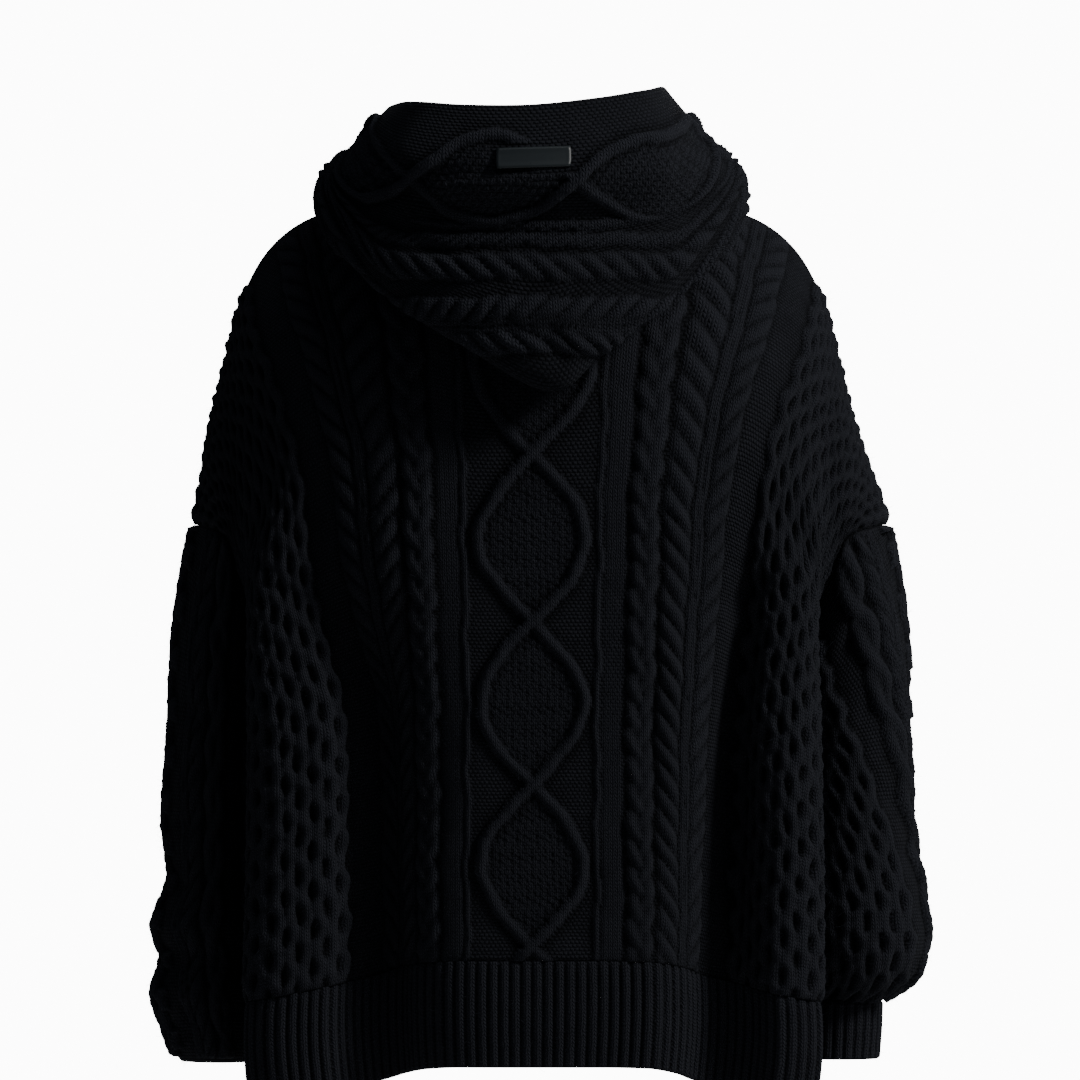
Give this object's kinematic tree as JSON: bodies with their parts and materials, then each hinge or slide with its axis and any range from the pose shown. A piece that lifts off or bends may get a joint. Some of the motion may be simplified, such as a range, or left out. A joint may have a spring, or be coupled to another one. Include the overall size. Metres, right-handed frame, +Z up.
{
  "type": "cable knit hoodie",
  "caption": "Oversized cable knit pullover hoodie with dropped shoulders, full sleeves, ribbed cuffs and hem, and a hood lying on the back.",
  "frame": {"origin": "middle of the neck at the height of the shoulders, where the garment hangs on whoever wears it", "axes": "+Z up, +Y the way the wearer faces, +X to the wearer's right"},
  "size_m": [0.673, 0.3386, 0.8809],
  "materials": {
    "wool": "matte",
    "patch": "satin"
  },
  "bodies": {
    "root": {"back_panel": "wool", "front_panel": "wool", "hem_rib": "wool", "sleeve_right": "wool", "sleeve_left": "wool", "cuff_right": "wool", "cuff_left": "wool", "hood": "wool", "label_patch": "patch"}
  },
  "joints": []
}
